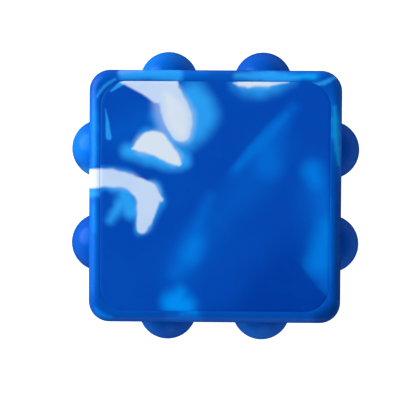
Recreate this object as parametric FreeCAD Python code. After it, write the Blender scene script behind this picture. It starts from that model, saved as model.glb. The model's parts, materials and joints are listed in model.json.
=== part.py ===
import FreeCAD, Part
import math
import os

# Bubble popper squeeze cube: a hollow silicone cube with four poppable bubbles on each of its four side walls.
#
# All sizes are in millimetres. +Z is up, and the origin is the centre of the flat base that the cube stands on.
# A square cap is bonded into the rebate round the open top, and its seam shows as a fine line on the top face.
# Each bubble is a thin dome in a round window of its wall. Its crown travels straight in when it is pressed,
# and a thin hinge ring folds between the crown and the wall. Left and right are as seen when facing that wall.

# Cube
side = 65.0                # across the flat walls, in X and in Y
height = 65.0              # base to cap top
corner_radius = 5.4        # upright corners, outside
edge_radius = 2.8          # top and bottom edges, outside
wall = 3.0                 # side walls
floor = 3.0                # base
cavity_floor_radius = 1.5  # inside, where the walls meet the base
vent_radius = 1.25         # air hole through the middle of the base

# Cap and the mouth that it closes
rim_land = 0.4             # flat width between the cube's rounded top edge and the seam
cap_thickness = 2.6
cap_corner_radius = 6.4
glue_gap = 0.1             # between the cap and the mouth, all round
cap_seam_radius = 0.3      # rounded edges on both sides of the seam, which make it show as a line
rim_seam_radius = 0.2
ledge = 1.6                # width of the inside rib that the cap is bonded to
rib_height = 2.0

# Bubbles
bubble_rows = ["lower", "upper"]
bubble_columns = ["left", "right"]
bubble_pitch = 25.8        # between bubble centres, along and up the wall
bubble_radius = 8.0        # of the dome's outside sphere
bubble_height = 7.0        # dome above the wall
membrane = 1.1             # thickness of the dome
web = 1.0                  # thickness of the flat ring that joins the dome to the wall
root_fillet = 0.8          # outside, where the dome rises from the wall
window_land = 0.6          # flat width of the hinge ring outside the fillet
hinge_height = 2.5         # top of the hinge ring, above the wall
split_gap = 0.1            # between the hinge ring and the crown

# Worked out
half_side = side / 2
sphere_depth = bubble_radius - bubble_height   # the sphere's centre lies this far inside the wall's face
inner_radius = bubble_radius - membrane
fillet_reach = math.sqrt((bubble_radius + root_fillet) ** 2 - (sphere_depth + root_fillet) ** 2)
window_radius = fillet_reach + window_land
ledge_z = height - cap_thickness
mouth_half = half_side - edge_radius - rim_land
throat_half = mouth_half - ledge
cavity_half = half_side - wall
cavity_top = ledge_z - rib_height
mouth_corner_radius = cap_corner_radius + glue_gap
throat_corner_radius = max(mouth_corner_radius - ledge, 0.5)
cavity_corner_radius = max(corner_radius - wall, 0.5)
cut_margin = 1.0           # how far each cutting block runs past what it cuts

up = FreeCAD.Vector(0, 0, 1)
walls = {
    "front": FreeCAD.Vector(0, -1, 0),
    "right": FreeCAD.Vector(1, 0, 0),
    "back": FreeCAD.Vector(0, 1, 0),
    "left": FreeCAD.Vector(-1, 0, 0),
}


def rounded_square(half, radius, bottom, top):
    """A square block with rounded upright corners, centred on Z."""
    inset = half - radius
    arc_spot = inset + radius * math.sqrt(0.5)
    turn = FreeCAD.Rotation(up, 90)
    corners = [
        FreeCAD.Vector(half, -inset, bottom),
        FreeCAD.Vector(half, inset, bottom),
        FreeCAD.Vector(arc_spot, arc_spot, bottom),
        FreeCAD.Vector(inset, half, bottom),
    ]
    edges = []
    for _ in range(4):
        line_start, line_end, arc_middle, arc_end = corners
        edges.append(Part.makeLine(line_start, line_end))
        edges.append(Part.Arc(line_end, arc_middle, arc_end).toShape())
        corners = [turn.multVec(corner) for corner in corners]
    return Part.Face(Part.Wire(edges)).extrude(FreeCAD.Vector(0, 0, top - bottom))


def edges_at(shape, level, reach=math.inf):
    """The edges that lie flat at one height and within reach of the Z axis, in X and in Y."""
    found = []
    for edge in shape.Edges:
        box = edge.BoundBox
        flat = abs(box.ZMin - level) < 1e-4 and abs(box.ZMax - level) < 1e-4
        farthest = max(abs(box.XMin), abs(box.XMax), abs(box.YMin), abs(box.YMax))
        if flat and farthest < reach + 1e-4:
            found.append(edge)
    return found


def revolved(edges):
    """A solid of revolution about Z from a closed outline drawn in the XZ plane."""
    return Part.Face(Part.Wire(edges)).revolve(FreeCAD.Vector(0, 0, 0), up, 360)


def point(radius, level):
    """A point of an outline in the XZ plane."""
    return FreeCAD.Vector(radius, 0, level)


def on_sphere(radius, level):
    """The point of one of the dome's two spheres at a height above the wall's face."""
    return point(math.sqrt(radius ** 2 - (level + sphere_depth) ** 2), level)


def arc_about(centre, start, end):
    """The shorter arc about a centre from start to end."""
    middle = (start - centre) + (end - centre)
    middle = centre + middle.normalize() * (start - centre).Length
    return Part.Arc(start, middle, end).toShape()


def make_crown():
    """The travelling part of a bubble, dome up: a shell between two spheres, cut off flat."""
    sphere_centre = point(0, -sphere_depth)
    cut = hinge_height + split_gap
    outer_rim = on_sphere(bubble_radius, cut)
    inner_rim = on_sphere(inner_radius, cut)
    outer_top = point(0, bubble_height)
    inner_top = point(0, bubble_height - membrane)
    return revolved([
        arc_about(sphere_centre, outer_rim, outer_top),
        Part.makeLine(outer_top, inner_top),
        arc_about(sphere_centre, inner_top, inner_rim),
        Part.makeLine(inner_rim, outer_rim),
    ])


def make_hinge_ring():
    """The folding part of a bubble: a flat ring in the window, a root fillet and the lowest band of the dome."""
    sphere_centre = point(0, -sphere_depth)
    fillet_centre = point(fillet_reach, root_fillet)
    fillet_foot = point(fillet_reach, 0)
    share = bubble_radius / (bubble_radius + root_fillet)
    fillet_top = sphere_centre + (fillet_centre - sphere_centre) * share
    window_top = point(window_radius, 0)
    window_bottom = point(window_radius, -web)
    outer_cut = on_sphere(bubble_radius, hinge_height)
    inner_cut = on_sphere(inner_radius, hinge_height)
    inner_root = on_sphere(inner_radius, -web)
    return revolved([
        Part.makeLine(window_bottom, window_top),
        Part.makeLine(window_top, fillet_foot),
        arc_about(fillet_centre, fillet_foot, fillet_top),
        arc_about(sphere_centre, fillet_top, outer_cut),
        Part.makeLine(outer_cut, inner_cut),
        arc_about(sphere_centre, inner_cut, inner_root),
        Part.makeLine(inner_root, window_bottom),
    ])


def make_window():
    """The hole that a bubble needs through its wall, dome side up."""
    return Part.makeCylinder(window_radius, wall + 2 * cut_margin, point(0, -wall - cut_margin), up)


def on_wall(shape, outward, across, level):
    """Moves a copy of a shape from the origin, where it points up, onto a wall, where it points out."""
    sideways = up.cross(outward)
    spot = outward * half_side + sideways * across + up * level
    placed = shape.copy()
    placed.Placement = FreeCAD.Placement(spot, FreeCAD.Rotation(up, outward))
    return placed


def bubble_sites():
    """Each bubble's name, its wall's outward direction, and its place along and up the wall."""
    for wall_name, outward in walls.items():
        for row, row_name in enumerate(bubble_rows):
            level = height / 2 + (row - (len(bubble_rows) - 1) / 2) * bubble_pitch
            for column, column_name in enumerate(bubble_columns):
                across = (column - (len(bubble_columns) - 1) / 2) * bubble_pitch
                yield f"{wall_name}_{row_name}_{column_name}", outward, across, level


def make_shell():
    """The cube's moulding: the base, four walls with a round window behind each bubble, and the rebated mouth."""
    shell = rounded_square(half_side, corner_radius, 0, height)
    shell = shell.makeFillet(edge_radius, edges_at(shell, 0) + edges_at(shell, height))
    cavity = rounded_square(cavity_half, cavity_corner_radius, floor, cavity_top)
    cavity = cavity.makeFillet(cavity_floor_radius, edges_at(cavity, floor))
    throat = rounded_square(throat_half, throat_corner_radius, cavity_top - cut_margin, ledge_z + cut_margin)
    mouth = rounded_square(mouth_half, mouth_corner_radius, ledge_z, height + cut_margin)
    shell = shell.cut(cavity).cut(throat).cut(mouth)
    shell = shell.makeFillet(rim_seam_radius, edges_at(shell, height, mouth_half))
    vent = Part.makeCylinder(vent_radius, floor + 2 * cut_margin, point(0, -cut_margin), up)
    shell = shell.cut(vent)
    window = make_window()
    for _, outward, across, level in bubble_sites():
        shell = shell.cut(on_wall(window, outward, across, level))
    return shell


def make_cap():
    """The cap: a flat plate with rounded corners that fills the mouth down to the ledge."""
    cap = rounded_square(mouth_half - glue_gap, cap_corner_radius, ledge_z, height)
    return cap.makeFillet(cap_seam_radius, edges_at(cap, height))


def save(name, shape):
    """Writes one piece, after checking that it is one closed and sound solid."""
    if len(shape.Solids) != 1 or not shape.isValid() or not shape.Solids[0].isClosed():
        raise ValueError(f"{name} is not one sound solid")
    shape.Solids[0].exportStep(f"parts/{name}.step")
    print(f"{name}: {shape.Volume / 1000:.2f} cm3")


def main():
    os.makedirs("parts", exist_ok=True)
    save("cube_shell", make_shell())
    save("top_cap", make_cap())
    crown = make_crown()
    hinge_ring = make_hinge_ring()
    for name, outward, across, level in bubble_sites():
        save(f"{name}_crown", on_wall(crown, outward, across, level))
        save(f"{name}_hinge_ring", on_wall(hinge_ring, outward, across, level))
    print(f"bubble travel {2 * bubble_height} mm, window radius {window_radius:.3f} mm")


main()
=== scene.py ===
import json
from math import atan2, cos, pi, radians, sin

import bmesh
import bpy
from mathutils import Matrix, Vector

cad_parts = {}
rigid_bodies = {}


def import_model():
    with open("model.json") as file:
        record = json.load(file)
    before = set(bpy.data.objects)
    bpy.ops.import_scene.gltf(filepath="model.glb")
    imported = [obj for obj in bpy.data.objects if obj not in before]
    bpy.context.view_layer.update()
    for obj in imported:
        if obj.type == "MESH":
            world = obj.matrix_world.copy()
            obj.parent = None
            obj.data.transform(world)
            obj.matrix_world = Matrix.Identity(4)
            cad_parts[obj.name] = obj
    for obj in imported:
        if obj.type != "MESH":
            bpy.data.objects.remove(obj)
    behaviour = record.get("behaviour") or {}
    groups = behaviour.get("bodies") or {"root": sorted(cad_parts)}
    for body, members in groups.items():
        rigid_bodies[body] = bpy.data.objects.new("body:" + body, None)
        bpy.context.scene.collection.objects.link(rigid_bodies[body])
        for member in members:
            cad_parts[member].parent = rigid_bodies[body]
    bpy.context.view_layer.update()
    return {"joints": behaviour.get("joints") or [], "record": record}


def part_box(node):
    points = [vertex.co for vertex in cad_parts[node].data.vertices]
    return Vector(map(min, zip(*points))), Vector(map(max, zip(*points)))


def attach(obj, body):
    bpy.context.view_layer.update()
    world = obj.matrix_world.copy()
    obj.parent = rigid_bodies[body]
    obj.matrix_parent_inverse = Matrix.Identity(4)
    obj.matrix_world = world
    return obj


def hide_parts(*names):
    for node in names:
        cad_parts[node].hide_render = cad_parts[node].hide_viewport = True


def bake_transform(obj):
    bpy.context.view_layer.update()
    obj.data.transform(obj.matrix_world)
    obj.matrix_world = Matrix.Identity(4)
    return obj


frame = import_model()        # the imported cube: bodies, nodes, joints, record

mm = 0.001
up = Vector((0, 0, 1))

cubeHalf, _, cubeTop = Vector(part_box("cube_shell")[1])
ledgeLevel = Vector(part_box("top_cap")[0]).z
weld = 0.001 * mm            # points nearer than this are one
hardAngle = radians(38)      # edges sharper than this don't shade smoothly


# where each bubble sits and which way it faces, from its joint and its two nodes
def findBubbles():
    found = []
    for joint in frame["joints"]:
        outward = -Vector(joint["axis"])
        crown = frame["record"]["behaviour"]["bodies"][joint["child"]][0]
        ring = joint["deforming_nodes"][0]["node"]
        crownLow, crownHigh = [Vector(corner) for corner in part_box(crown)]
        ringLow, ringHigh = [Vector(corner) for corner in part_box(ring)]
        spot = (ringLow + ringHigh) / 2
        spot += outward * (cubeHalf - spot.dot(outward))
        apex = max(crownLow.dot(outward), crownHigh.dot(outward))
        turn = up.rotation_difference(outward).to_matrix().to_4x4()
        found.append({
            "body": joint["child"], "parent": joint["parent"], "nodes": (crown, ring),
            "outward": outward, "spot": spot, "height": apex - cubeHalf,
            "window": (ringHigh.z - ringLow.z) / 2, "place": Matrix.Translation(spot) @ turn,
        })
    return found


bubbles = findBubbles()
windowRadius = bubbles[0]["window"]
bubbleHeight = bubbles[0]["height"]
levels = [bubble["spot"].z for bubble in bubbles]
bubblePitch = max(levels) - min(levels)
print("found", len(bubbles), "bubbles,", round(bubblePitch / mm, 2), "mm apart")


def edgesIn(geom):
    return [item for item in geom if isinstance(item, bmesh.types.BMEdge)]


def vertsIn(geom):
    return [item for item in geom if isinstance(item, bmesh.types.BMVert)]


# turns a bmesh into an object at the origin, smooth except over hard edges
def finishPiece(name, bm, material):
    for face in bm.faces:
        face.smooth = True
    for edge in bm.edges:
        edge.smooth = not edge.is_manifold or edge.calc_face_angle() < hardAngle
    moulded = bm.verts.layers.float_vector.new("moulded")    # the pigment is set where the rubber was moulded
    for vert in bm.verts:
        vert[moulded] = vert.co / mm
    mesh = bpy.data.meshes.new(name)
    bm.to_mesh(mesh)
    bm.free()
    mesh.materials.append(material)
    piece = bpy.data.objects.new(name, mesh)
    bpy.context.scene.collection.objects.link(piece)
    return piece


# A loft goes through rounded squares: each ring is (distance in from the cube's side, level, corner radius).
# This starts one with the first of them.
def addSquare(bm, inset, level, corner, steps):
    lift = Matrix.Translation((0, 0, level))
    square = bmesh.ops.create_grid(bm, x_segments=1, y_segments=1, size=cubeHalf - inset, matrix=lift)
    bmesh.ops.bevel(bm, geom=square["verts"], offset=corner, segments=steps, profile=0.5,
                    affect="VERTICES", material=-1)
    sheet = bm.faces[:][-1]
    loop = list(sheet.edges)
    bmesh.ops.delete(bm, geom=[sheet], context="FACES_ONLY")
    return loop


# each ring is extruded from the one before it, and each of its corners is scaled about its own centre
def loftSquares(bm, rings, steps):
    loop = addSquare(bm, *rings[0], steps)
    for (oldInset, oldLevel, oldCorner), (inset, level, corner) in zip(rings, rings[1:]):
        grown = bmesh.ops.extrude_edge_only(bm, edges=loop)["geom"]
        verts, loop = vertsIn(grown), [edge for edge in edgesIn(grown) if edge.is_boundary]
        oldCentre, centre = cubeHalf - oldInset - oldCorner, cubeHalf - inset - corner
        grow = Matrix.Diagonal((corner / oldCorner, corner / oldCorner, 1, 1))
        corners = {(x, y): [] for x in (-1, 1) for y in (-1, 1)}
        for vert in verts:
            corners[1 if vert.co.x > 0 else -1, 1 if vert.co.y > 0 else -1].append(vert)
        for (x, y), group in corners.items():
            back = Matrix.Translation((-x * oldCentre, -y * oldCentre, 0))
            out = Matrix.Translation((x * centre, y * centre, level - oldLevel))
            bmesh.ops.transform(bm, matrix=out @ grow @ back, verts=group)


# a quarter-round stretch of a loft's outline
def roundRings(inset, level, radius, start, end, steps, corner):
    angles = [radians(start + (end - start) * step / steps) for step in range(steps + 1)]
    return [(inset + radius * cos(angle), level + radius * sin(angle), corner - radius * cos(angle))
            for angle in angles]


# the cube's moulding: four walls and a floor, open at the top for the cap
shellShape = {
    "cornerRadius": 5.4 * mm,    # upright corners
    "cornerSteps": 12,
    "edgeRadius": 2.8 * mm,      # round the top and the base
    "edgeSteps": 10,
    "wall": 3.0 * mm,
    "floor": 3.0 * mm,
    "floorRadius": 1.5 * mm,     # inside, round the floor
    "floorSteps": 4,
    "mouthInset": 3.2 * mm,      # the mouth that takes the cap
    "mouthCorner": 6.5 * mm,
    "seamWidth": 0.3 * mm,       # the mouth's side of the seam, and how far it dips
    "seamDip": 0.1 * mm,
    "ledge": 1.6 * mm,           # the cap is bonded to this
    "ribHeight": 2.0 * mm,
    "cellHalf": 11.0 * mm,       # square patch of wall round each window
    "windowSteps": 64,
    "ventRadius": 1.25 * mm,
    "ventEdge": 0.4 * mm,
}


def shellRings(shell):
    corner, edge = shell["cornerRadius"], shell["edgeRadius"]
    rings = roundRings(edge, edge, edge, 270, 180, shell["edgeSteps"], corner - edge)
    rings += roundRings(edge, cubeTop - edge, edge, 180, 90, shell["edgeSteps"], corner - edge)
    mouth, mouthCorner = shell["mouthInset"], shell["mouthCorner"]
    seam, ledge, ribFoot = shell["seamWidth"], shell["ledge"], ledgeLevel - shell["ribHeight"]
    rings += [(mouth - seam, cubeTop, mouthCorner + seam), (mouth, cubeTop - shell["seamDip"], mouthCorner),
              (mouth, ledgeLevel, mouthCorner), (mouth + ledge, ledgeLevel, mouthCorner - ledge),
              (mouth + ledge, ribFoot, mouthCorner - ledge), (shell["wall"], ribFoot, corner - shell["wall"])]
    curve, steps = shell["floorRadius"], shell["floorSteps"]
    inside, foot = shell["wall"] + curve, shell["floor"] + curve
    return rings + roundRings(inside, foot, curve, 180, 270, steps, corner - inside)


# the air vent's rings: a square whose corner radius is half its side is a circle
def ventRings(levels):
    return [(cubeHalf - radius, level, radius) for radius, level in levels]


# cuts the walls along the sides of each bubble's square patch
def cutCells(bm, shell):
    near, far = bubblePitch / 2 - shell["cellHalf"], bubblePitch / 2 + shell["cellHalf"]
    cuts = [-far, -near, near, far]
    for axis in (0, 1, 2):
        normal = Vector([float(axis == other) for other in (0, 1, 2)])
        for cut in cuts:
            middle = cubeTop / 2 if axis == 2 else 0
            bmesh.ops.bisect_plane(bm, geom=bm.verts[:] + bm.edges[:] + bm.faces[:], dist=weld / 10,
                                   plane_co=normal * (middle + cut), plane_no=normal)


# opens one face of the wall to a round window and returns the window's edges
def addWindow(bm, shell, bubble, depth):
    centre = bubble["spot"] - bubble["outward"] * depth
    cell = min(bm.faces, key=lambda face: (face.calc_center_median() - centre).length)
    sides = list(cell.edges)
    bmesh.ops.delete(bm, geom=[cell], context="FACES_ONLY")
    split = bmesh.ops.subdivide_edges(bm, edges=sides, cuts=shell["windowSteps"] // 4 - 1)
    square = [edge for edge in edgesIn(split["geom_inner"] + split["geom_split"]) if edge.is_boundary]
    place = bubble["place"] @ Matrix.Translation((0, 0, -depth))
    circle = bmesh.ops.create_circle(bm, segments=shell["windowSteps"], radius=windowRadius, matrix=place)
    window = list({edge for vert in circle["verts"] for edge in vert.link_edges})
    bmesh.ops.triangle_fill(bm, edges=list(set(square)) + window, use_beauty=True)
    return window


def buildShell(shell, material):
    bm = bmesh.new()
    rings, vent = shellRings(shell), shell["ventRadius"]
    ventTop, ventFoot = (vent, shell["floor"]), (vent, shell["ventEdge"])
    ventRim = (vent + shell["ventEdge"], 0)
    loftSquares(bm, rings + ventRings([ventTop, ventFoot]), shell["cornerSteps"])
    loftSquares(bm, rings[:1] + ventRings([ventRim, ventFoot]), shell["cornerSteps"])
    bmesh.ops.remove_doubles(bm, verts=bm.verts, dist=weld)
    cutCells(bm, shell)
    for bubble in bubbles:
        outside = addWindow(bm, shell, bubble, 0)
        inside = addWindow(bm, shell, bubble, shell["wall"])
        bmesh.ops.bridge_loops(bm, edges=outside + inside)
    bmesh.ops.recalc_face_normals(bm, faces=bm.faces)
    piece = finishPiece("cube_moulding", bm, material)
    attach(piece, "cube")
    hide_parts("cube_shell")


# the cap lies flush in the moulding's mouth, and its bond fills the gap between them
capShape = {
    "cornerSteps": 12,
    "seamWidth": 0.3 * mm,       # the cap's side of the seam
    "border": 0.5 * mm,          # a flat strip inside the seam, so that the seam's shading ends there
}


def buildCap(cap, shell, material):
    bm = bmesh.new()
    mouth, corner, seam = shell["mouthInset"], shell["mouthCorner"], cap["seamWidth"]
    rings = [(mouth, ledgeLevel, corner), (mouth, cubeTop - shell["seamDip"], corner),
             (mouth + seam, cubeTop, corner - seam),
             (mouth + seam + cap["border"], cubeTop, corner - seam - cap["border"])]
    loftSquares(bm, rings, cap["cornerSteps"])
    bmesh.ops.holes_fill(bm, edges=bm.edges, sides=0)
    bmesh.ops.recalc_face_normals(bm, faces=bm.faces)
    piece = finishPiece("cap_plate", bm, material)
    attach(piece, "cube")
    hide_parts("top_cap")


# a bubble that pops inwards; its skin is moulded in one with the wall
domeShape = {
    "radius": 8.0 * mm,          # of the sphere
    "rootFillet": 0.8 * mm,      # where the dome rises from the wall
    "skin": 0.15 * mm,           # thin enough to turn inside out
    "domeSteps": 22,
    "filletSteps": 6,
    "hinge": 1.1,                # the turn ends this share of the height above the wall
}


# the dome's outline is drawn with its apex up, spun round, and given its thickness
def buildDome(dome, bubble, material):
    bm = bmesh.new()
    radius, fillet = dome["radius"], dome["rootFillet"]
    depth = radius - bubbleHeight
    reach = ((radius + fillet) ** 2 - (depth + fillet) ** 2) ** 0.5
    lean = atan2(reach, depth + fillet)
    tip = bmesh.ops.create_vert(bm, co=(0, 0, bubbleHeight))["vert"]
    arc = bmesh.ops.spin(bm, geom=tip, cent=(0, 0, -depth), axis=(0, 1, 0), angle=lean,
                         steps=dome["domeSteps"])
    arc = bmesh.ops.spin(bm, geom=vertsIn(arc["geom_last"]), cent=(reach, 0, fillet), axis=(0, -1, 0),
                         angle=lean, steps=dome["filletSteps"])
    foot = bmesh.ops.extrude_vert_indiv(bm, verts=vertsIn(arc["geom_last"]))["verts"]
    bmesh.ops.translate(bm, verts=foot, vec=(windowRadius - reach, 0, 0))
    bmesh.ops.spin(bm, geom=bm.verts[:] + bm.edges[:], cent=(0, 0, 0), axis=(0, 0, 1), angle=2 * pi,
                   steps=shellShape["windowSteps"], use_merge=True)
    bmesh.ops.remove_doubles(bm, verts=bm.verts, dist=weld)
    if max(bm.faces, key=lambda face: face.calc_center_median().z).normal.z < 0:
        bmesh.ops.reverse_faces(bm, faces=bm.faces)
    bmesh.ops.solidify(bm, geom=bm.faces[:], thickness=dome["skin"])
    bmesh.ops.transform(bm, matrix=bubble["place"], verts=bm.verts)
    piece = finishPiece(bubble["body"] + "_dome", bm, material)
    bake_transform(piece)
    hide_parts(*bubble["nodes"])


# sRGB hex to the linear colour that nodes take
def colour(hexCode):
    parts = [int(hexCode[at:at + 2], 16) / 255 for at in (1, 3, 5)]
    return [part / 12.92 if part <= 0.04045 else ((part + 0.055) / 1.055) ** 2.4 for part in parts] + [1]


# adds one node: settings are its properties, links its inputs by name or number, fed by a socket or a value
def addNode(tree, kind, links=(), **settings):
    node = tree.nodes.new(kind)
    for name, value in settings.items():
        setattr(node, name, value)
    for socket, source in dict(links).items():
        if isinstance(source, bpy.types.NodeSocket):
            tree.links.new(source, node.inputs[socket])
        else:
            node.inputs[socket].default_value = source
    return node


# A lick of colour, marbling pigment and painted light alike: how far a point is from a tapered bar between
# two ends, in mm, or from the licks before it. The point is passed on with a trace of the distance in it, so
# that the shader works the licks out one at a time.
def strokeGroup():
    tree = bpy.data.node_groups.new("colourLickStroke", "ShaderNodeTree")
    for name, kind in (("Point", "Vector"), ("Before", "Float"), ("Start", "Vector"), ("End", "Vector"),
                       ("Start Radius", "Float"), ("End Radius", "Float"), ("Run Together", "Float")):
        tree.interface.new_socket(name, in_out="INPUT", socket_type="NodeSocket" + kind)
    tree.interface.new_socket("Point", in_out="OUTPUT", socket_type="NodeSocketVector")
    tree.interface.new_socket("Distance", in_out="OUTPUT", socket_type="NodeSocketFloat")
    given = addNode(tree, "NodeGroupInput").outputs
    away = addNode(tree, "ShaderNodeVectorMath", {0: given["Point"], 1: given["Start"]},
                   operation="SUBTRACT").outputs[0]
    bar = addNode(tree, "ShaderNodeVectorMath", {0: given["End"], 1: given["Start"]},
                  operation="SUBTRACT").outputs[0]
    along = addNode(tree, "ShaderNodeVectorMath", {0: away, 1: bar}, operation="DOT_PRODUCT").outputs["Value"]
    whole = addNode(tree, "ShaderNodeVectorMath", {0: bar, 1: bar}, operation="DOT_PRODUCT").outputs["Value"]
    share = addNode(tree, "ShaderNodeMath", {0: along, 1: whole}, operation="DIVIDE",
                    use_clamp=True).outputs[0]
    foot = addNode(tree, "ShaderNodeVectorMath", {0: bar, "Scale": share}, operation="SCALE").outputs[0]
    gap = addNode(tree, "ShaderNodeVectorMath", {0: away, 1: foot}, operation="DISTANCE").outputs["Value"]
    radius = addNode(tree, "ShaderNodeMapRange", {"Value": share, "To Min": given["Start Radius"],
                                                  "To Max": given["End Radius"]}).outputs[0]
    edge = addNode(tree, "ShaderNodeMath", {0: gap, 1: radius}, operation="SUBTRACT").outputs[0]
    nearest = addNode(tree, "ShaderNodeMath", {0: given["Before"], 1: edge, 2: given["Run Together"]},
                      operation="SMOOTH_MIN").outputs[0]
    trace = addNode(tree, "ShaderNodeVectorMath", {0: nearest, 1: (1e-9, 1e-9, 1e-9), 2: given["Point"]},
                    operation="MULTIPLY_ADD").outputs[0]
    addNode(tree, "NodeGroupOutput", {"Point": trace, "Distance": nearest})
    return tree


# puts a point between each two of a lick's, on the curve through its neighbours
def bend(lick):
    points = [Vector(point) for point in lick]
    ends = [2 * points[0] - points[1]] + points + [2 * points[-1] - points[-2]]
    bent = []
    for before, start, end, after in zip(ends, ends[1:], ends[2:], ends[3:]):
        bent += [start, (9 * (start + end) - before - after) / 16]
    return bent + [points[-1]]


# the distance from a point to the edge of the nearest lick
def addLicks(tree, point, licks, runTogether):
    nearest = 1000.0             # mm, farther off than any lick
    for lick in licks:
        path = bend(lick) if len(lick) > 2 else [Vector(end) for end in lick]
        for start, end in zip(path, path[1:]):
            links = {"Point": point, "Before": nearest, "Start": (*start.xy, 0), "End": (*end.xy, 0),
                     "Start Radius": start.z, "End Radius": end.z, "Run Together": runTogether}
            stroke = addNode(tree, "ShaderNodeGroup", links, node_tree=bpy.data.node_groups["colourLickStroke"])
            point, nearest = stroke.outputs["Point"], stroke.outputs["Distance"]
    return point, nearest


# lays one colour over another: at full strength where the value reaches the first bound of the fade, and
# gone at the second
def layOver(tree, value, fade, under, over):
    inside, outside, strength = fade
    amount = addNode(tree, "ShaderNodeMapRange", {
        "Value": value, "From Min": inside, "From Max": outside, "To Min": strength, "To Max": 0,
    }, interpolation_type="SMOOTHSTEP").outputs[0]
    return addNode(tree, "ShaderNodeMix", {0: amount, 6: under, 7: over}, data_type="RGBA").outputs[2]
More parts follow.
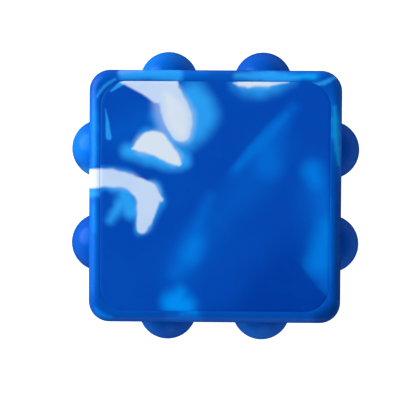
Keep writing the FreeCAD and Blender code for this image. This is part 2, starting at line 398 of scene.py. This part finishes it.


# Licks of pigment laid one on another, from the thinnest to the most opaque. Each entry holds a
# pigment, how far in and out of its edge it fades and how strong it is, how far its licks run together, and
# the licks, each a row of points with its half width there, all in mm. The pigment "deep" is the ground
# colour again. On the cap, x and y are the cube's own.
capMarble = [
    ("glow", (-4.0, 4.5, 0.32), 4.0, [
        [(15.0, 13.0, 4.6), (9.0, 4.0, 4.4), (0.5, -6.0, 2.6), (-5.5, -14.0, 3.6), (-10.0, -23.0, 2.6)],
        [(25.0, 8.0, 3.0), (26.5, -4.0, 4.0), (27.0, -18.0, 4.6)], [(-24.0, 16.0, 3.4), (-16.0, 20.0, 3.4)],
    ]),
    ("glow", (-2.6, 2.8, 0.85), 2.4, [
        [(19.6, 22.6, 0.5), (13.6, 14.8, 1.6), (13.4, 8.2, 3.2)], [(12.0, 13.6, 1.2), (5.0, 7.0, 0.5)],
        [(-1.0, 0.0, 0.0), (-4.2, -7.0, 0.8), (-5.6, -13.2, 2.3), (-9.6, -19.2, 1.2)],
        [(24.8, 6.4, 2.0), (27.4, 0.4, 1.4), (28.2, -8.0, 2.2), (27.2, -16.0, 3.4)],
        [(27.6, -17.0, 2.6), (29.3, -24.5, 0.6)],
    ]),
    ("azure", (-0.8, 1.6, 0.22), 0.5, [
        [(17.6, 20.8, 0.4), (10.8, 12.8, 1.0), (5.6, 7.6, 0.3)],
    ]),
    ("deep", (-0.7, 0.25, 0.9), 1.0, [
        [(14.2, 29.6, 6.2), (5.6, 17.6, 5.5), (-3.8, 6.4, 4.9)], [(18.8, -20.2, 4.6), (25.7, -28.5, 4.6)],
    ]),
    ("azure", (-2.0, 2.4, 1.0), 2.4, [
        [(-11.2, -27.3, 2.1), (-7.4, -27.9, 2.3)], [(-9.8, -26.2, 2.2), (-8.8, -24.4, 1.0)],
    ]),
    ("azure", (-2.0, 3.0, 0.45), 1.5, [
        [(24.6, 6.6, 1.6), (25.6, 4.6, 1.2)], [(27.0, -16.4, 2.4), (28.6, -8.0, 1.6)],
        [(-6.0, -14.6, 1.4), (-5.0, -12.4, 1.2)],
    ]),
    ("sky", (-2.6, 2.4, 1.0), 1.4, [
        [(-6.0, 25.5, 3.6), (-4.4, 20.5, 4.6), (-7.0, 14.6, 2.2)], [(-13.6, 20.0, 2.2), (-12.6, 16.0, 1.4)],
        [(5.5, 28.8, 1.0), (11.0, 28.2, 2.4), (19.5, 29.8, 0.6)],
    ]),
    ("sky", (-2.2, 1.0, 1.0), 1.2, [
        [(-22.4, 11.6, 2.2), (-13.0, 10.8, 4.0), (-8.8, 9.4, 2.9)], [(-17.2, 14.6, 3.0), (-11.6, 14.0, 2.4)],
        [(-30.5, 4.4, 3.2), (-23.5, 4.0, 3.4)], [(-22.6, 1.0, 2.6), (-21.4, -3.6, 2.8)],
        [(-23.8, -1.6, 2.2), (-26.8, -6.4, 1.2)], [(-15.6, 2.0, 2.2), (-14.2, -1.2, 1.9)],
        [(-14.6, -1.6, 1.9), (-17.8, -7.6, 2.0)], [(-18.6, -5.0, 2.2), (-19.2, -8.6, 1.6)],
    ]),
    ("deep", (-0.6, 0.8, 0.9), 0.6, [
        [(-27.8, 0.6, 0.7), (-26.9, -2.0, 0.7)],
    ]),
    ("sky", (-0.35, 0.3, 0.85), 0.3, [
        [(-27.9, 22.4, 0.05), (-27.1, 15.0, 0.75)], [(-23.8, 29.0, 0.7), (-26.6, 26.9, 0.2)],
    ]),
    ("pale", (-1.4, 1.0, 0.75), 1.0, [
        [(-12.0, 25.6, 3.8), (-9.2, 20.0, 4.4), (-8.8, 16.6, 3.2)], [(-18.6, 13.0, 2.4), (-15.0, 13.6, 3.0)],
        [(-15.0, 13.4, 3.0), (-10.6, 10.0, 1.9)], [(-26.0, 4.6, 2.3), (-21.4, 3.8, 2.1)],
        [(-17.0, 0.6, 3.0), (-18.2, -7.6, 1.7)], [(7.0, 28.8, 0.9), (13.0, 28.9, 0.9)],
    ]),
    ("veil", (-1.6, 1.8, 0.8), 1.0, [
        [(-13.9, 23.6, 1.7), (-13.0, 17.6, 1.5)],
    ]),
    ("milk", (-0.6, 0.25, 1.0), 0.7, [
        [(-23.0, 30.4, 1.9), (-14.5, 28.8, 5.0)], [(-11.4, 25.2, 3.4), (-9.5, 19.8, 3.9), (-9.1, 16.7, 2.9)],
        [(-34.0, 4.3, 2.6), (-26.0, 4.6, 2.3), (-21.6, 3.8, 1.9), (-17.4, 0.8, 2.9)],
        [(-17.4, 0.6, 2.9), (-13.6, -0.8, 0.7)], [(-17.4, 0.4, 2.6), (-18.1, -5.5, 1.9), (-18.5, -8.2, 1.5)],
        [(-15.0, -1.2, 1.1), (-17.3, -6.5, 1.5)],
    ]),
    ("white", (-2.4, 0.0, 1.0), 1.0, [
        [(-13.0, 26.0, 1.6), (-11.0, 23.6, 3.0), (-9.5, 19.8, 4.0), (-9.1, 16.7, 3.0)],
    ]),
    ("white", (-0.6, 0.25, 1.0), 0.7, [
        [(-21.4, 12.2, 0.3), (-17.2, 13.6, 2.6), (-15.4, 13.6, 2.8)],
        [(-15.4, 13.4, 2.8), (-11.5, 10.5, 1.8), (-9.4, 8.6, 0.7)],
        [(4.6, 28.9, 0.15), (8.4, 28.7, 0.95), (18.5, 29.3, 0.2)],
    ]),
]

# the same on the rim round the cap, seen from above; these fade out down the walls. Only some of them are
# marbling: the bands along the left, top and right edges and the thin bars at the corners are painted
# highlights, and the navy is painted shade
rimMarbleAndPaintedLight = [
    # painted highlight along the left, top and upper right edges; the licks at the bottom and low by the
    # right seam are marbling
    ("glow", (-1.5, 1.6, 0.6), 1.5, [
        [(-31.6, 26.0, 0.4), (-31.5, 8.0, 1.4), (-31.5, -24.0, 0.6)], [(-10.0, 31.2, 1.2), (-2.6, 31.2, 0.5)],
        [(-11.4, -30.6, 0.8), (-5.0, -30.4, 1.6)], [(30.2, 24.4, 0.6), (30.8, 16.0, 1.4), (31.8, 6.6, 0.4)],
        [(29.0, -1.0, 0.6), (29.2, -20.0, 1.0)],
    ]),
    # painted highlight along the left and top edges; the lick at the bottom is marbling
    ("azure", (-1.1, 0.9, 0.5), 1.2, [
        [(-31.0, 24.4, 0.2), (-30.8, 17.0, 0.9), (-31.0, 8.0, 0.4)], [(-31.0, -3.0, 0.6), (-30.8, -9.0, 0.4)],
        [(12.0, 31.0, 1.2), (25.8, 30.8, 1.0)], [(-8.6, -29.8, 0.5), (-5.0, -29.4, 1.0)],
    ]),
    # painted highlight along the right edge and the top right edge
    ("cyan", (-0.9, 0.7, 0.9), 0.8, [
        [(30.4, 22.8, 0.4), (30.7, 16.0, 0.9), (31.5, 8.4, 0.2)], [(16.0, 30.2, 0.2), (25.0, 30.6, 0.6)],
    ]),
    # painted shade: the front right corner and a dark line down the right edge, away from the lamp
    ("navy", (-1.4, 1.4, 0.8), 1.0, [
        [(30.6, -28.6, 1.8), (27.4, -31.0, 1.8)], [(32.4, 4.0, 0.3), (32.2, -10.0, 0.7), (32.0, -26.0, 0.8)],
    ]),
    # painted highlight along the top edge; the short lick across the left edge is marbling
    ("sky", (-1.2, 0.8, 0.75), 1.2, [
        [(-23.6, 31.2, 1.4), (-10.0, 31.0, 1.9)], [(5.4, 30.6, 0.8), (14.0, 30.6, 1.5), (21.0, 30.2, 0.6)],
        [(-33.0, 0.6, 1.2), (-29.0, 0.8, 1.0)],
    ]),
    # painted highlights: thin bars across the back left and back right corners
    ("sky", (-0.5, 0.5, 0.8), 0.3, [
        [(-30.2, 25.4, 0.22), (-28.4, 27.9, 0.3), (-25.7, 29.9, 0.22)],
        [(24.8, 28.9, 0.1), (27.6, 29.1, 0.5), (30.2, 30.3, 0.3)],
    ]),
    # painted highlight: a short bar across the front left corner
    ("azure", (-0.9, 0.9, 0.6), 0.4, [
        [(-30.6, -28.9, 0.2), (-29.3, -30.3, 0.5), (-26.6, -31.0, 0.3)],
    ]),
    ("veil", (-1.0, 0.8, 0.6), 0.8, [
        [(-24.6, 32.0, 0.3), (-19.0, 32.6, 0.6)],
    ]),
    ("white", (-0.5, 0.35, 1.0), 0.7, [
        [(-40.0, 4.3, 2.6), (-26.0, 4.4, 2.5)],
    ]),
]

# Round the walls, x runs from the back left corner, 65 mm a wall: left from 0 to 65 and front to 130, back
# from 0 to -65 and right to -130. y is the height.
# The azure on four upper bubbles is partly painted light, lighter where the key lamp falls.
wallMarbleAndPaintedLight = [
    ("glow", (-4.0, 4.0, 0.9), 3.0, [
        [(8.0, 28.0, 3.0), (16.0, 20.0, 4.0), (22.0, 8.0, 4.0)],
        [(58.0, 12.0, 3.0), (70.0, 20.0, 4.0), (84.0, 22.0, 4.0)],
        [(104.0, 30.0, 2.0), (116.0, 24.0, 4.0), (126.0, 12.0, 3.0)],
        [(-62.0, 24.0, 3.0), (-44.0, 12.0, 3.0)],
        [(-86.0, 26.0, 3.0), (-100.0, 14.0, 4.0), (-116.0, 10.0, 3.0)],
        [(-26.0, 22.0, 3.0), (-14.0, 10.0, 4.0)],
    ]),
    # partly painted light: azure on the two upper bubbles by the back left corner, nearest the key lamp
    ("azure", (-5.0, 6.0, 0.42), 3.0, [
        [(17.0, 50.0, 6.0), (14.0, 42.0, 5.0)], [(-7.0, 53.0, 4.0), (-19.0, 44.0, 6.0)],
    ]),
    # partly painted light: fainter azure on the two upper bubbles at the front
    ("azure", (-5.0, 6.0, 0.22), 3.0, [
        [(78.0, 48.0, 4.0), (84.0, 42.0, 4.0)], [(106.0, 50.0, 4.0), (113.0, 42.0, 5.0)],
    ]),
    ("sky", (-2.4, 1.8, 1.0), 1.8, [
        [(27.6, 70.0, 4.6), (28.4, 56.0, 4.2), (31.0, 44.0, 3.6), (37.0, 34.0, 4.2), (47.0, 29.5, 4.2),
         (58.0, 31.0, 2.2)], [(10.0, 6.0, 1.0), (14.0, 14.0, 3.0), (21.0, 22.0, 3.6), (26.0, 26.0, 1.6)],
        [(40.0, -4.0, 4.0), (37.0, 6.0, 3.4), (41.0, 15.0, 3.0), (50.0, 19.0, 3.4), (58.0, 16.0, 1.6)],
        [(-12.6, 70.0, 3.0), (-6.0, 60.0, 2.6), (-1.0, 50.0, 2.2), (0.5, 40.0, 2.2), (-4.0, 32.0, 3.2),
         (-13.0, 30.0, 4.2), (-24.0, 33.0, 3.8), (-32.0, 30.0, 2.4), (-36.0, 22.0, 1.4)],
        [(-36.0, 70.0, 1.6), (-32.0, 60.0, 2.0), (-31.0, 50.0, 2.4), (-34.5, 41.0, 1.6)],
        [(-62.0, 10.0, 1.4), (-56.0, 17.0, 3.0), (-47.0, 20.0, 3.6), (-39.0, 14.0, 2.8), (-37.0, 4.0, 3.0),
         (-42.0, -4.0, 3.4)],
        [(-66.0, 58.0, 1.2), (-63.5, 48.0, 2.2), (-64.5, 38.0, 3.0), (-71.0, 32.0, 4.0),
         (-82.0, 31.0, 4.4), (-93.0, 34.0, 3.2), (-98.0, 42.0, 2.0), (-98.5, 50.0, 0.8)],
        [(-100.0, 26.0, 1.2), (-104.0, 16.0, 3.0), (-113.0, 12.0, 4.0), (-122.0, 15.0, 2.6),
         (-127.0, 22.0, 1.0)],
        [(-74.0, -4.0, 3.4), (-77.0, 5.0, 3.0), (-84.0, 10.0, 2.6), (-90.0, 17.0, 1.8)],
        [(64.0, 50.0, 1.2), (66.6, 40.0, 2.6), (73.0, 33.0, 3.8), (83.0, 31.0, 4.2), (92.6, 34.0, 3.4),
         (97.4, 42.0, 2.2), (98.4, 52.0, 1.0)],
        [(96.0, -4.0, 3.6), (98.6, 6.0, 3.2), (105.0, 12.0, 2.8), (114.0, 14.0, 3.4), (122.0, 21.0, 2.4),
         (126.0, 30.0, 1.2)], [(72.0, 22.0, 1.0), (78.0, 18.6, 2.4), (86.0, 21.0, 2.4), (91.0, 25.0, 1.0)],
    ]),
    ("white", (-1.0, 0.7, 1.0), 1.2, [
        [(27.3, 70.0, 3.4), (27.6, 58.0, 2.8), (30.0, 46.0, 2.2), (35.5, 36.0, 2.6), (45.0, 31.0, 2.8),
         (55.0, 31.5, 1.4), (61.0, 34.0, 0.3)],
        [(12.0, 11.0, 0.3), (16.0, 17.0, 1.8), (21.5, 22.4, 1.2), (24.0, 25.0, 0.3)],
        [(40.6, -4.0, 2.6), (38.4, 6.0, 2.0), (42.0, 13.6, 1.4), (49.0, 17.6, 1.8), (55.0, 16.6, 0.4)],
        [(-5.0, 33.0, 0.5), (-13.0, 31.2, 2.4), (-23.0, 33.6, 2.2), (-30.0, 31.0, 0.9), (-34.0, 25.0, 0.3)],
        [(-32.4, 58.0, 0.3), (-31.6, 50.0, 1.2), (-33.6, 43.0, 0.4)],
        [(-59.0, 13.4, 0.3), (-54.0, 18.4, 1.4), (-46.6, 20.4, 1.8), (-39.6, 13.0, 1.2), (-38.0, 4.0, 1.4),
         (-42.0, -4.0, 2.0)],
        [(-64.6, 44.0, 0.4), (-66.0, 36.4, 1.4), (-72.0, 32.4, 2.2), (-82.0, 31.6, 2.4),
         (-91.6, 34.6, 1.4), (-96.0, 40.6, 0.4)],
        [(-102.4, 20.0, 0.4), (-106.0, 14.0, 1.6), (-113.0, 12.0, 2.0), (-119.6, 14.0, 0.6)],
        [(-74.6, -4.0, 2.0), (-78.0, 5.0, 1.4), (-83.6, 9.4, 0.6)],
        [(66.6, 43.0, 0.4), (69.0, 37.0, 1.6), (75.0, 33.0, 2.4), (83.6, 32.0, 2.4), (91.0, 34.8, 1.4),
         (95.4, 40.0, 0.4)],
        [(96.6, -4.0, 2.2), (99.4, 5.6, 1.6), (106.0, 11.0, 0.9), (114.0, 14.6, 1.6), (119.6, 19.0, 0.5)],
        [(75.6, 20.0, 0.3), (80.0, 18.8, 1.1), (85.6, 20.8, 0.9), (88.6, 23.0, 0.3)],
    ]),
]

# under the base, x and y are the cube's own again
baseMarble = [
    ("glow", (-3.0, 3.0, 0.9), 2.0, [
        [(-22.0, -18.0, 2.0), (-10.0, 4.0, 4.0)], [(14.0, -14.0, 2.0), (24.0, 6.0, 3.0)],
    ]),
    ("sky", (-2.4, 1.8, 1.0), 1.8, [
        [(-20.0, -30.0, 2.4), (-14.0, -17.0, 3.6), (-6.0, -9.0, 4.2), (4.0, -6.0, 3.4), (9.0, 2.0, 3.6),
         (13.0, 12.0, 4.4), (28.0, 20.0, 2.0)],
        [(-28.0, 10.0, 1.4), (-22.0, 17.0, 2.8), (-14.0, 20.0, 3.4), (-4.0, 17.0, 1.6)],
    ]),
    ("white", (-1.0, 0.7, 1.0), 1.2, [
        [(-16.0, -22.0, 0.4), (-12.0, -15.0, 2.0), (-5.0, -9.6, 2.4), (4.0, -6.8, 1.8), (8.4, 1.0, 1.9),
         (12.0, 10.0, 2.6), (20.0, 16.0, 0.5)],
        [(-25.0, 14.0, 0.4), (-20.0, 18.4, 1.5), (-13.6, 19.6, 1.9), (-6.6, 18.0, 0.4)],
    ]),
]

silicone = {
    # the colours, from the least white stirred in to the most; navy is only painted shade and cyan only
    # painted highlight, on the rim
    "navy": "#00317f",
    "deepCorner": "#013faa",     # the cap's front right corner
    "deepCap": "#054cbb",
    "deepBody": "#0453bb",
    "glow": "#0572e0",
    "azure": "#0196ff",
    "cyan": "#10b0fc",
    "sky": "#2faaff",
    "veil": "#8fb0f0",
    "pale": "#a9d2fa",
    "milk": "#d2e6ff",
    "white": "#e7f1fb",
    "deepFade": (28.0, 16.0, 1.0),   # mm from the middle to that corner, where its blue gives way
    "swirl": 9.0,                # mm, width of a swirl
    "drag": 1.6,                 # mm, how far the swirls pull the licks about
    "wallSwirl": 26.0,           # mm, the same for the wider swirls round the walls
    "wallDrag": 14.0,
    "cloud": (0.65, 0.4, 0.06),  # some glow is stirred in where the swirls are thick
    "rimFade": (3.0, 9.0),       # mm below the top, where the rim's licks give way to the walls'
    "baseFade": (1.5, 5.0),      # mm above the base, where the base's licks give way to the walls'
    "roughness": (0.22, 0.32),
    "ripple": 0.025,             # mm, how uneven the moulded face is
    "ior": 1.41,
    "highlight": "#3f9cff",      # the shine takes on some of the rubber's blue
}


# lays licks of colour on the ground colour, marbling pigment and painted light alike, and returns the shade
def addLickLayers(tree, point, lickLayers, deep):
    shade = deep
    for pigment, fade, runTogether, licks in lickLayers:
        point, edge = addLicks(tree, point, licks, runTogether)
        over = deep if pigment == "deep" else colour(silicone[pigment])
        shade = layOver(tree, edge, fade, shade, over)
    return shade


# how far a noise pulls a point aside, in mm
def addPull(tree, noise, drag):
    centred = addNode(tree, "ShaderNodeVectorMath", {0: noise.outputs["Color"], 1: (0.5, 0.5, 0.5)},
                      operation="SUBTRACT").outputs[0]
    return addNode(tree, "ShaderNodeVectorMath", {0: centred, 1: (drag, drag, 0)},
                   operation="MULTIPLY").outputs[0]


# unrolls the walls: how far round the cube a point lies, and its height
def addUnrolled(tree, point, height):
    ahead = addNode(tree, "ShaderNodeVectorMath", {0: point, 1: (-1, 1, 0)}, operation="DOT_PRODUCT")
    aside = addNode(tree, "ShaderNodeVectorMath", {0: point, 1: (-1, -1, 0)}, operation="DOT_PRODUCT")
    angle = addNode(tree, "ShaderNodeMath", {0: aside.outputs["Value"], 1: ahead.outputs["Value"]},
                    operation="ARCTAN2").outputs[0]
    halfRound = 4 * cubeHalf / mm        # reached at an angle of pi
    around = addNode(tree, "ShaderNodeMath", {0: angle, 1: halfRound / pi}, operation="MULTIPLY").outputs[0]
    return addNode(tree, "ShaderNodeCombineXYZ", {"X": around, "Y": height}).outputs[0]


# the body's marbling and painted light: the rim's licks at the top, the base's at the foot and the walls'
# between them; the rim's hold painted highlights and painted shade, the walls' some painted light
def addBodyMarbleAndPaintedLight(tree, point, flat, pull):
    deep = colour(silicone["deepBody"])
    height = addNode(tree, "ShaderNodeSeparateXYZ", {0: point}).outputs["Z"]
    wide = addNode(tree, "ShaderNodeTexNoise", {"Vector": point, "Scale": 1 / silicone["wallSwirl"],
                                                "Detail": 1.0})
    wrap = addUnrolled(tree, point, height)
    for aside in (addPull(tree, wide, silicone["wallDrag"]), pull):
        wrap = addNode(tree, "ShaderNodeVectorMath", {0: wrap, 1: aside}, operation="ADD").outputs[0]
    rim = addLickLayers(tree, flat, rimMarbleAndPaintedLight, deep)
    wall = addLickLayers(tree, wrap, wallMarbleAndPaintedLight, deep)
    base = addLickLayers(tree, flat, baseMarble, deep)
    rimHigh, rimLow = [cubeTop / mm - depth for depth in silicone["rimFade"]]
    shade = layOver(tree, height, (rimHigh, rimLow, 1.0), wall, rim)
    return layOver(tree, height, (*silicone["baseFade"], 1.0), shade, base)


# the cap's marbling, on a ground that deepens towards the front right corner
def addCapMarble(tree, point, flat):
    across = addNode(tree, "ShaderNodeVectorMath", {0: point, 1: Vector((1, -1, 0)).normalized()},
                     operation="DOT_PRODUCT").outputs["Value"]
    deep = layOver(tree, across, silicone["deepFade"], colour(silicone["deepCap"]),
                   colour(silicone["deepCorner"]))
    return addLickLayers(tree, flat, capMarble, deep)


# poured silicone rubber, marbled before it was moulded and glossy from a polished mould:
# soft-edged swirls of sky blue and white run through a deep blue, under a slightly rippled shine
# on the body, painted highlights lie along the rim's edges and corners, painted shade on its right edge and
# front right corner, and partly painted light on four upper bubbles
def makeSilicone(name, isBody):
    material = bpy.data.materials.new(name)
    material.use_nodes = True
    tree = material.node_tree
    tree.nodes.clear()
    point = addNode(tree, "ShaderNodeAttribute", attribute_name="moulded").outputs["Vector"]
    swirl = addNode(tree, "ShaderNodeTexNoise", {"Vector": point, "Scale": 1 / silicone["swirl"],
                                                 "Detail": 2.0, "Roughness": 0.45})
    pull = addPull(tree, swirl, silicone["drag"])
    flat = addNode(tree, "ShaderNodeVectorMath", {0: point, 1: (1, 1, 0), 2: pull},
                   operation="MULTIPLY_ADD").outputs[0]
    shade = addBodyMarbleAndPaintedLight(tree, point, flat, pull) if isBody else addCapMarble(tree, point, flat)
    thick = swirl.outputs["Fac"]
    shade = layOver(tree, thick, silicone["cloud"], shade, colour(silicone["glow"]))
    ripple = addNode(tree, "ShaderNodeBump", {"Height": thick, "Strength": 1.0, "Filter Width": 1.0,
                                              "Distance": silicone["ripple"] * mm})
    glossy, dull = silicone["roughness"]
    smear = addNode(tree, "ShaderNodeMapRange", {"Value": thick, "To Min": glossy, "To Max": dull})
    shader = addNode(tree, "ShaderNodeBsdfPrincipled", {
        "Base Color": shade, "Roughness": smear.outputs[0], "Normal": ripple.outputs[0],
        "IOR": silicone["ior"], "Specular Tint": colour(silicone["highlight"]),
    })
    addNode(tree, "ShaderNodeOutputMaterial", {"Surface": shader.outputs[0]})
    return material


strokeGroup()
bodySilicone = makeSilicone("pouredSiliconeBody", isBody=True)
capSilicone = makeSilicone("pouredSiliconeCap", isBody=False)
print("mixed the silicone")

buildShell(shellShape, bodySilicone)
buildCap(capShape, shellShape, capSilicone)
for bubble in bubbles:
    buildDome(domeShape, bubble, bodySilicone)
print("moulded the cube, its cap and its bubbles")


# a pale table, a large soft lamp low on the left and a weak one in front
studio = {
    "tableRadius": 6.0,          # m
    "tableColour": "#f4f5f6",
    "tableGlow": 1.2,
    "tableShade": "#8c8f92",     # what the lamps add on top of the glow
    "tableRoughness": 0.9,
    "keyPower": 13.4,            # W
    "keySize": 1.0,              # m
    "keyAim": Vector((-0.80, 0.35, 0.48)),
    "keyDistance": 1.0,
    "fillPower": 1.2,
    "fillSize": 0.8,
    "fillAim": Vector((0.15, -1.0, 0.35)),
    "fillDistance": 1.2,
    "roomColour": "#9aa0a8",
}


# matt card, lit from within so that no shadow falls on it; it has no shine of its own
def buildTable():
    bm = bmesh.new()
    bmesh.ops.create_circle(bm, cap_ends=True, segments=96, radius=studio["tableRadius"])
    bmesh.ops.recalc_face_normals(bm, faces=bm.faces)
    material = bpy.data.materials.new("paleCard")
    material.use_nodes = True
    shader = material.node_tree.nodes["Principled BSDF"]
    shader.inputs["Base Color"].default_value = colour(studio["tableShade"])
    shader.inputs["Roughness"].default_value = studio["tableRoughness"]
    shader.inputs["Specular IOR Level"].default_value = 0
    shader.inputs["Emission Color"].default_value = colour(studio["tableColour"])
    shader.inputs["Emission Strength"].default_value = studio["tableGlow"]
    table = finishPiece("table", bm, material)
    table.visible_glossy = False    # the glow lights the sides and stays out of their shine


def addLamp(name, place, size, power):
    data = bpy.data.lights.new(name, "AREA")
    data.shape = "DISK"
    data.size = size
    data.energy = power
    lamp = bpy.data.objects.new(name, data)
    lamp.location = place
    lamp.rotation_euler = (Vector((0, 0, cubeTop / 2)) - place).to_track_quat("-Z", "Y").to_euler()
    bpy.context.scene.collection.objects.link(lamp)


def buildStudio():
    buildTable()
    for lamp in ("key", "fill"):
        place = studio[lamp + "Aim"].normalized() * studio[lamp + "Distance"]
        addLamp(lamp + "Lamp", place, studio[lamp + "Size"], studio[lamp + "Power"])
    world = bpy.data.worlds.new("studioRoom")
    bpy.context.scene.world = world
    world.use_nodes = True
    world.node_tree.nodes["Background"].inputs["Color"].default_value = colour(studio["roomColour"])
    world.cycles_visibility.glossy = False
    bpy.context.scene.view_settings.view_transform = "Standard"


buildStudio()


# looks down on the cap from a quarter of a metre, a little off its middle
view = {
    "fieldOfView": radians(25.25),
    "sensor": 36.0,
    "distance": 239.6 * mm,      # above the cube's widest outline
    "nadir": (0.83 * mm, 2.25 * mm),     # the spot straight below the camera
    "aim": (-1.76 * mm, -2.89 * mm),     # the spot on the cap that it looks at
    "roll": radians(0.4),
}


def addCamera():
    data = bpy.data.cameras.new("camera")
    data.sensor_width = view["sensor"]
    data.angle = view["fieldOfView"]
    camera = bpy.data.objects.new("camera", data)
    place = Vector((*view["nadir"], cubeTop - shellShape["edgeRadius"] + view["distance"]))
    look = (Vector((*view["aim"], cubeTop)) - place).normalized()
    turn = (-up).rotation_difference(look).to_matrix().to_4x4()
    camera.matrix_world = Matrix.Translation(place) @ turn @ Matrix.Rotation(view["roll"], 4, "Z")
    bpy.context.scene.collection.objects.link(camera)
    bpy.context.scene.camera = camera


addCamera()
print("lit the table and set the camera")
